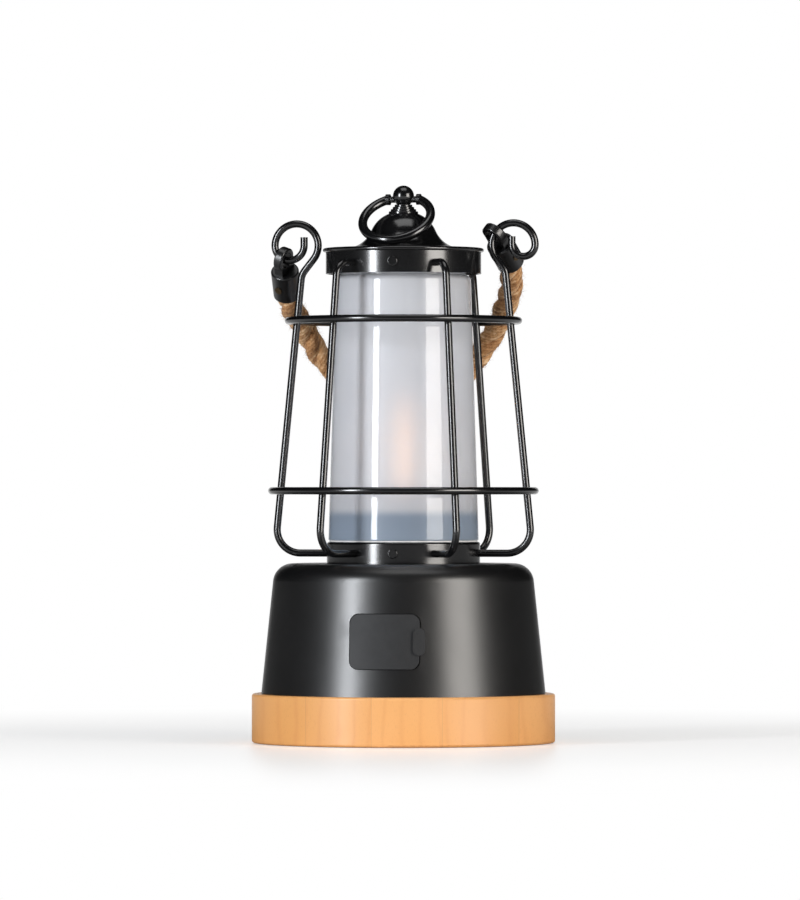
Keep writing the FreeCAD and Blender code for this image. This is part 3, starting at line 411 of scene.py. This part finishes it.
def wood():
    """Pale close-grained wood, glued up from boards that run front to back, under clear satin."""
    m = Nodes("wood", Coat_Weight=0.25, Coat_Roughness=0.22)
    x = m.add("ShaderNodeSeparateXYZ", Vector=m.place).outputs["X"]
    lane = m.maths("MULTIPLY_ADD", x, 1 / BOARD_WIDTH, BOARD_SHIFT)
    board = m.maths("FLOOR", lane)
    pick = m.add("ShaderNodeTexWhiteNoise", {"noise_dimensions": "1D"}, W=board)
    own = pick.outputs["Value"]
    warp = m.noise(1.0, 4.0, 0.55, m.stretched((38.0, 5.0, 16.0)))
    across = m.maths("MULTIPLY_ADD", x, GRAIN_PER_METRE, m.maths("MULTIPLY", own, 17.0))
    rings = m.maths("MULTIPLY_ADD", warp, GRAIN_WANDER, across)
    wave = m.maths("ABSOLUTE", m.maths("SUBTRACT", m.maths("FRACT", rings), 0.5))
    late = m.ramp(wave, (0.0, 0.0), (0.32, 0.12), (0.5, 1.0))
    fleck = m.noise(1.0, 3.0, 0.6, m.stretched((2400.0, 90.0, 700.0)))
    pale = m.mix(own, (0.77, 0.370, 0.115), (0.83, 0.420, 0.148))
    tone = m.mix(m.maths("MULTIPLY", late, 0.42), pale, (0.68, 0.285, 0.085))
    flecked = m.maths("MULTIPLY", m.ramp(fleck, (0.56, 0.0), (0.72, 1.0)), 0.34)
    tone = m.mix(flecked, tone, (0.56, 0.24, 0.08))
    patch = m.noise(1.0, 2.0, 0.5, m.stretched((30.0, 12.0, 22.0)))
    tone = m.mix(m.ramp(patch, (0.35, 0.0), (0.8, 0.5)), tone, (0.86, 0.44, 0.18))
    seam = m.maths("ABSOLUTE", m.maths("SUBTRACT", m.maths("FRACT", lane), 0.5))
    glue = m.ramp(seam, (0.4955, 0.0), (0.4985, 1.0))
    tone = m.mix(m.maths("MULTIPLY", glue, 0.45), tone, (0.42, 0.22, 0.10))
    m.join(tone, "Base Color")
    m.join(m.maths("MULTIPLY_ADD", fleck, 0.12, 0.36), "Roughness")
    m.bump(m.mix(0.5, late, fleck), 0.22, 0.00012)
    return m.material


# Painted shade: the wall's colour darkens to blue-grey from the upper height to the lower one, where the
# light's seat shows, standing in for the seat seen dark through the frosted wall
PAINTED_SEAT_SHADE_LOW_Z = 0.1035
PAINTED_SEAT_SHADE_HIGH_Z = 0.1085


def frosted():
    """Glossy outside, frosted inside: clouded light with a soft view of what is near the wall, and a
    band of painted shade near the bottom for the light's seat behind it.
    """
    m = Nodes("frosted_chimney", Roughness=0.5, IOR=1.45, Transmission_Weight=0.55, Coat_Weight=0.8,
              Coat_Roughness=0.02, Coat_IOR=1.5)
    cloud = m.noise(26.0, 3.0)
    wall = m.ramp(cloud, (0.3, (0.86, 0.88, 0.93)), (0.75, (0.91, 0.92, 0.95)))
    height = m.add("ShaderNodeSeparateXYZ", Vector=m.place).outputs["Z"]
    clear_of_painted_shade = m.smooth(height, PAINTED_SEAT_SHADE_LOW_Z, PAINTED_SEAT_SHADE_HIGH_Z)
    # Painted shade: below the lower height the base colour turns dark blue-grey, the seat's shade
    # painted onto the wall
    m.join(m.mix(clear_of_painted_shade, (0.44, 0.53, 0.65), wall), "Base Color")
    m.bump(m.noise(700.0, 2.0), 0.05, 0.00003)
    return m.material


def jute():
    """Twisted natural fibre: every yarn its own brown, darker in the grooves between yarns as painted
    shade carried by the tone attribute, with a dusty sheen.
    """
    m = Nodes("jute", Roughness=0.9, Sheen_Weight=0.35, Sheen_Roughness=0.5)
    m.shader.inputs["Sheen Tint"].default_value = (0.95, 0.80, 0.60, 1.0)
    m.shader.inputs["Specular IOR Level"].default_value = 0.2
    tone = m.add("ShaderNodeAttribute", {"attribute_name": "tone"}).outputs["Fac"]
    patch = m.noise(420.0, 5.0, 0.7)
    fine = m.noise(1600.0, 3.0, 0.7)
    own = m.maths("MULTIPLY_ADD", tone, 0.42, m.maths("MULTIPLY", fine, 0.22))
    mixed = m.maths("MULTIPLY_ADD", patch, 0.55, own)
    colour = m.ramp(mixed, (0.40, (0.11, 0.045, 0.018)), (0.54, (0.36, 0.165, 0.065)),
                    (0.66, (0.58, 0.31, 0.135)), (0.80, (0.85, 0.60, 0.36)))
    m.join(colour, "Base Color")
    m.bump(fine, 0.5, 0.0002)
    return m.material


def warm_light():
    """Warm diffuser of the light column, faintly lit."""
    m = Nodes("warm_light", Roughness=0.4, Emission_Strength=2.4)
    m.shader.inputs["Emission Color"].default_value = (1.0, 0.52, 0.26, 1.0)
    m.join(m.ramp(m.noise(90.0, 3.0), (0.3, (1.0, 0.66, 0.42)), (0.7, (1.0, 0.76, 0.55))), "Base Color")
    m.bump(m.noise(500.0), 0.1, 0.00005)
    return m.material


def dress(material, *names):
    for name in names:
        data = nodes[name].data
        data.materials.clear()
        data.materials.append(material)
        for face in data.polygons:
            face.material_index = 0


def dress_all():
    satin = paint("satin_black", 0.34, 0.12)
    gloss = paint("gloss_black", 0.19, 0.025, (0.004, 0.004, 0.0045))
    steel = metal("plated_steel", (0.60, 0.60, 0.62), 0.34)
    dress(wood(), "wood_base")
    dress(satin, "housing")
    dress(gloss, "collar", "cap_band", "cap", "finial", "hanging_ring", "collar_screws", "cap_screws",
          "cage_ring_upper", "cage_ring_lower", "hook_wire_right", "hook_wire_left",
          "cage_wire_back_right", "cage_wire_back_left", "cage_wire_front_left", "cage_wire_front_right")
    dress(paint("ferrule_black", 0.30, 0.10), "ferrule_left", "ferrule_right")
    dress(steel, "base_screws", "housing_floor", "usb_socket", "charging_socket", "dimmer_control",
          "dimmer_shaft", "dimmer_nut", "finial_nut")
    dress(metal("dull_brass", (0.16, 0.11, 0.06), 0.5), "ferrule_rivets")
    dress(moulded("flap_rubber", (0.016, 0.0165, 0.018), 0.58, 0.3), "port_flap")
    dress(moulded("pad_rubber", (0.03, 0.03, 0.03), 0.8, 0.4), "foot_pads")
    dress(moulded("black_plastic", (0.022, 0.022, 0.023), 0.5), "dimmer_knob", "port_panel",
          "battery_holder")
    dress(moulded("seat_plastic", (0.15, 0.19, 0.25), 0.5), "led_seat", "led_post")
    dress(moulded("silicone", (0.70, 0.70, 0.69), 0.45, 0.1), "chimney_seal_lower", "chimney_seal_upper")
    dress(moulded("cell_wrap", (0.03, 0.13, 0.32), 0.35, 0.1), "battery_cells")
    dress(moulded("solder_mask", (0.02, 0.14, 0.05), 0.3, 0.1), "circuit_board")
    dress(frosted(), "chimney")
    dress(warm_light(), "led_flame")


# ---------------------------------------------------------------- stage and light

# Strength of the world's plain light on matt surfaces
FILL = 0.31


def make_world():
    """White where the camera looks; behind the lamp that white also shows in gloss and through glass."""
    world = bpy.data.worlds.new("studio")
    scene.world = world
    world.use_nodes = True
    tree = world.node_tree
    tree.nodes.clear()

    def add(kind, **settings):
        node = tree.nodes.new(kind)
        for key, value in settings.items():
            setattr(node, key, value)
        return node

    def maths(operation, a, b):
        return maths_node(tree, operation, (a, b))

    coord = add("ShaderNodeTexCoord")
    dot = add("ShaderNodeVectorMath", operation="DOT_PRODUCT")
    tree.links.new(coord.outputs["Generated"], dot.inputs[0])
    dot.inputs[1].default_value = (-math.sin(CAMERA_AZIMUTH), math.cos(CAMERA_AZIMUTH), 0)

    def toward_back(low, high, start):
        """A smooth step from start to 1 as the ray turns to what is behind the lamp."""
        node = add("ShaderNodeMapRange", interpolation_type="SMOOTHSTEP")
        tree.links.new(dot.outputs["Value"], node.inputs["Value"])
        for socket, value in (("From Min", low), ("From Max", high), ("To Min", start), ("To Max", 1.0)):
            node.inputs[socket].default_value = value
        return node.outputs["Result"]

    path = add("ShaderNodeLightPath")
    camera = path.outputs["Is Camera Ray"]
    seen = maths("MAXIMUM", path.outputs["Is Glossy Ray"], path.outputs["Is Transmission Ray"])
    mirrored = maths("MULTIPLY", path.outputs["Is Glossy Ray"], toward_back(0.93, 0.99, 0.0))
    through = maths("MULTIPLY", path.outputs["Is Transmission Ray"], toward_back(-0.4, 0.5, 0.3))
    gloss = maths("MAXIMUM", mirrored, through)
    fill = maths("MULTIPLY", maths("SUBTRACT", 1.0, maths("MAXIMUM", seen, camera)), FILL)
    background = add("ShaderNodeBackground")
    tree.links.new(maths("ADD", maths("ADD", gloss, camera), fill), background.inputs["Strength"])
    background.inputs["Color"].default_value = (1.0, 1.0, 1.0, 1.0)
    output = add("ShaderNodeOutputWorld")
    tree.links.new(background.outputs[0], output.inputs["Surface"])


FLOOR_R = 9.0
FLOOR_NEAR = 0.12
FLOOR_FAR = 0.55
FLOOR_LIFT = 0.30
FLOOR_DROP = 0.0002
BACK_LOW = 0.85
BACK_HIGH = 0.99


def make_floor():
    """Pale floor that keeps the lamp's shadow and turns plain white further out."""
    bm = bmesh.new()
    bmesh.ops.create_circle(bm, cap_ends=True, segments=96, radius=FLOOR_R)
    mesh = bpy.data.meshes.new("floor")
    bm.to_mesh(mesh)
    bm.free()
    floor = link("floor", mesh)
    floor.location.z = -FLOOR_DROP
    m = Nodes("floor", Roughness=0.35)
    pale = m.ramp(m.noise(9.0, 2.0), (0.3, (0.79, 0.79, 0.79)), (0.7, (0.81, 0.81, 0.81)))
    path = m.add("ShaderNodeLightPath")
    # Painted shade in reflections: for glossy rays the floor's colour drops to dark grey, so the lamp's
    # paint reflects a darker floor than the lit one
    m.join(m.mix(path.outputs["Is Glossy Ray"], pale, (0.10, 0.10, 0.10)), "Base Color")
    far = m.add("ShaderNodeVectorMath", {"operation": "LENGTH"}, Vector=m.place).outputs["Value"]
    share = m.smooth(far, FLOOR_NEAR, FLOOR_FAR)
    back = (-math.sin(CAMERA_AZIMUTH), math.cos(CAMERA_AZIMUTH), 0)
    toward = m.add("ShaderNodeVectorMath", {"operation": "NORMALIZE"}, Vector=m.place).outputs["Vector"]
    dot = m.add("ShaderNodeVectorMath", {"operation": "DOT_PRODUCT"})
    m.tree.links.new(toward, dot.inputs[0])
    dot.inputs[1].default_value = back
    behind = m.smooth(dot.outputs["Value"], BACK_LOW, BACK_HIGH)
    gloss = m.maths("MULTIPLY", path.outputs["Is Glossy Ray"], behind)
    seen = m.maths("MAXIMUM", path.outputs["Is Camera Ray"],
                   m.maths("MAXIMUM", gloss, path.outputs["Is Transmission Ray"]))
    lift = m.maths("MULTIPLY", seen, FLOOR_LIFT)
    glow = m.add("ShaderNodeEmission", Color=(1.0, 1.0, 1.0, 1.0), Strength=lift)
    lit = m.add("ShaderNodeAddShader")
    m.tree.links.new(m.shader.outputs[0], lit.inputs[0])
    m.tree.links.new(glow.outputs[0], lit.inputs[1])
    far_light = m.maths("MAXIMUM", seen, 0.5)
    white = m.add("ShaderNodeEmission", Color=(1.0, 1.0, 1.0, 1.0), Strength=far_light)
    both = m.add("ShaderNodeMixShader", Fac=share)
    m.tree.links.new(lit.outputs[0], both.inputs[1])
    m.tree.links.new(white.outputs[0], both.inputs[2])
    m.tree.links.new(both.outputs[0], m.tree.nodes["Material Output"].inputs["Surface"])
    floor.data.materials.append(m.material)


def softbox(name, azimuth_deg, distance, size, z, aim_z, radiance, colour):
    """A rectangular lamp aimed at the lantern's axis; radiance is what its face shows."""
    width, height = size
    data = bpy.data.lights.new(name, "AREA")
    data.shape = "RECTANGLE"
    data.size = width
    data.size_y = height
    data.energy = radiance * math.pi * width * height
    data.color = colour
    lamp = link(name, data)
    lamp.location = round_lamp(CAMERA_AZIMUTH + math.radians(azimuth_deg), distance, z)
    away = Vector((0, 0, aim_z)) - lamp.location
    lamp.rotation_mode = "QUATERNION"
    lamp.rotation_quaternion = away.to_track_quat("-Z", "Y")


def light_it():
    softbox("strip_left", -45.5, 1.5, (0.26, 0.85), 0.44, 0.13, 23.0, (0.93, 0.96, 1.0))
    softbox("box_right", 49.0, 1.5, (0.75, 0.85), 0.44, 0.13, 7.0, (1.0, 0.96, 0.91))
    softbox("overhead", 10.0, 0.25, (1.1, 0.9), 1.7, 0.1, 1.5, (1.0, 1.0, 1.0))


# ---------------------------------------------------------------- all of it

make_camera()
make_rope()
dress_all()
make_world()
make_floor()
light_it()
for thing in nodes.values():
    for polygon in thing.data.polygons:
        polygon.use_smooth = True
scene.view_settings.view_transform = "Standard"
